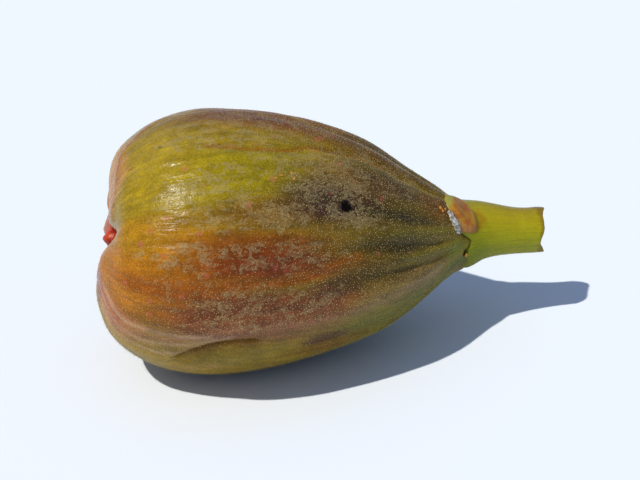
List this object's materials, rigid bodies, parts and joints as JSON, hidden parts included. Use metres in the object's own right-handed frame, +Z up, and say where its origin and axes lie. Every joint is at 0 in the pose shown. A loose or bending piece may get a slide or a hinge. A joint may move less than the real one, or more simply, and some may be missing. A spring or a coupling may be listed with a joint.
{
  "type": "fresh fig",
  "caption": "Whole fresh fig as picked, lying on its side: pear-shaped ribbed fruit with a split eye, a short cut stalk and low scale leaves where the two meet.",
  "frame": {"origin": "on the surface that the fig rests on, under the middle of its bounding box", "axes": "+X from the eye to the stalk end, -Y is the side seen in the picture, +Z up"},
  "size_m": [0.0754, 0.0462, 0.0426],
  "materials": {
    "skin": "thin waxy fruit skin, yellow-green over orange-brown with purple bruising, fine lengthwise veins, pale pores and grey scurf, soft satin gloss",
    "stalk": "smooth yellow-green stalk, satin, with a paler fibrous cut end",
    "scale_leaf": "orange-tan leathery scale leaf with a soft gloss and a pale green lip",
    "pulp": "wet orange-red beads of pulp, glossy",
    "latex": "dried grey-white milk of the fig, crumbly and matte",
    "sap": "dried amber drops of sap, clear and glossy",
    "pores": "pale raised pores of the skin, satin",
    "fuzz": "very short pale hairs"
  },
  "bodies": {
    "root": {"fig": "skin"}
  },
  "joints": []
}
